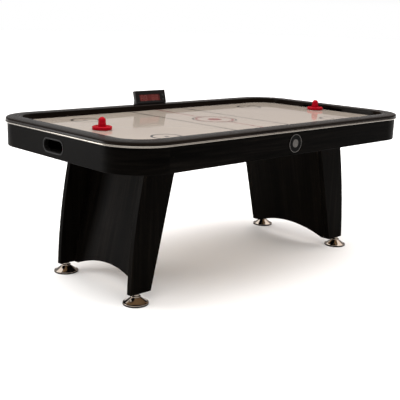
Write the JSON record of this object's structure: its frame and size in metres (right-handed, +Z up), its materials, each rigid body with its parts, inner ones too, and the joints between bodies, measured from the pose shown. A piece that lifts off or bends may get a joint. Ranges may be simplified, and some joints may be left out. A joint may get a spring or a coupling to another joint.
{
  "type": "air hockey table",
  "caption": "Air hockey table with rounded rails on two splayed pedestals, levelling feet, blower, puck returns, leaning scorer and pushers.",
  "frame": {"origin": "on the floor, under the middle of the table", "axes": "+X along the length to the right end, +Y across the width to the side with the scorer, +Z up"},
  "size_m": [2.04, 1.16, 0.8892],
  "materials": {
    "black_laminate": "satin dark wood-grain laminate",
    "grain_laminate": "dark wood-grain laminate",
    "silver_trim": "bright edge moulding",
    "white_field": "glossy off-white playing surface",
    "raw_board": "raw fibreboard",
    "black_plastic": "moulded black plastic",
    "steel": "zinc-plated steel",
    "chrome": "polished chrome",
    "rubber": "black rubber",
    "red_plastic": "glossy red plastic",
    "felt": "white felt",
    "red_lens": "dark red display window",
    "circuit": "circuit board with digit blocks",
    "grey_plastic": "light grey button plastic"
  },
  "bodies": {
    "table": {"front_apron": "grain_laminate", "back_apron": "grain_laminate", "left_apron": "grain_laminate", "right_apron": "grain_laminate", "corner_aprons": "grain_laminate", "front_rail": "black_laminate", "back_rail": "black_laminate", "left_rail": "black_laminate", "right_rail": "black_laminate", "corner_rails": "black_laminate", "straight_trims": "silver_trim", "corner_trims": "silver_trim", "play_field": "white_field", "bottom_board": "raw_board", "plenum_battens": "raw_board", "plenum_ribs": "raw_board", "left_return_box": "black_plastic", "right_return_box": "black_plastic", "left_return_bezel": "black_plastic", "right_return_bezel": "black_plastic", "blower_housing": "black_plastic", "blower_grille": "black_plastic", "blower_motor": "steel", "blower_screws": "steel", "left_leg_front_board": "black_laminate", "left_leg_back_board": "black_laminate", "right_leg_front_board": "black_laminate", "right_leg_back_board": "black_laminate", "left_leg_outer_panel": "grain_laminate", "right_leg_outer_panel": "grain_laminate", "left_leg_inner_panel": "black_laminate", "right_leg_inner_panel": "black_laminate", "leg_top_plates": "black_laminate", "leg_bolts": "steel", "leveller_inserts": "steel", "scorer_foot": "black_plastic", "scorer_case": "black_plastic", "scorer_bezel": "black_plastic", "scorer_window": "red_lens", "scorer_board": "circuit", "power_plate": "black_plastic", "apron_badge": "steel"},
    "left_front_leveller_set": {"left_front_leveller": "chrome", "left_front_foot_pad": "rubber"},
    "left_back_leveller_set": {"left_back_leveller": "chrome", "left_back_foot_pad": "rubber"},
    "right_front_leveller_set": {"right_front_leveller": "chrome", "right_front_foot_pad": "rubber"},
    "right_back_leveller_set": {"right_back_leveller": "chrome", "right_back_foot_pad": "rubber"},
    "impeller": {"blower_impeller": "black_plastic"},
    "start_button": {"scorer_start_button": "grey_plastic"},
    "reset_button": {"scorer_reset_button": "grey_plastic"},
    "rocker": {"power_rocker": "red_plastic"},
    "left_striker": {"left_pusher": "red_plastic", "left_pusher_felt": "felt"},
    "right_striker": {"right_pusher": "red_plastic", "right_pusher_felt": "felt"},
    "left_puck_body": {"left_puck": "red_plastic"},
    "right_puck_body": {"right_puck": "red_plastic"}
  },
  "joints": [
    {"name": "left_front_leveller_screw", "type": "slide", "parent": "table", "child": "left_front_leveller_set", "axis": [0, 0, -1], "range_m": [0, 0.02]},
    {"name": "left_back_leveller_screw", "type": "slide", "parent": "table", "child": "left_back_leveller_set", "axis": [0, 0, -1], "range_m": [0, 0.02]},
    {"name": "right_front_leveller_screw", "type": "slide", "parent": "table", "child": "right_front_leveller_set", "axis": [0, 0, -1], "range_m": [0, 0.02]},
    {"name": "right_back_leveller_screw", "type": "slide", "parent": "table", "child": "right_back_leveller_set", "axis": [0, 0, -1], "range_m": [0, 0.02]},
    {"name": "impeller_spin", "type": "hinge", "parent": "table", "child": "impeller", "pos_m": [0, 0, 0.66], "axis": [0, 0, 1], "continuous": true},
    {"name": "start_press", "type": "slide", "parent": "table", "child": "start_button", "axis": [0, 0.9703, -0.2419], "range_m": [0, 0.0015], "stiffness_N_per_m": 400, "springref_m": -0.001},
    {"name": "reset_press", "type": "slide", "parent": "table", "child": "reset_button", "axis": [0, 0.9703, -0.2419], "range_m": [0, 0.0015], "stiffness_N_per_m": 400, "springref_m": -0.001},
    {"name": "rocker_tilt", "type": "hinge", "parent": "table", "child": "rocker", "pos_m": [0.458, 0.566, 0.727], "axis": [1, 0, 0], "range_deg": [0, 16]},
    {"name": "left_striker_run", "type": "slide", "parent": "table", "child": "left_striker", "axis": [1, 0, 0], "range_m": [-0.13, 0.68]},
    {"name": "right_striker_run", "type": "slide", "parent": "table", "child": "right_striker", "axis": [-1, 0, 0], "range_m": [-0.018, 0.8]},
    {"name": "left_puck_out", "type": "slide", "parent": "table", "child": "left_puck_body", "axis": [-1, 0, 0], "range_m": [-0.025, 0.14]},
    {"name": "right_puck_out", "type": "slide", "parent": "table", "child": "right_puck_body", "axis": [1, 0, 0], "range_m": [-0.025, 0.14]}
  ]
}
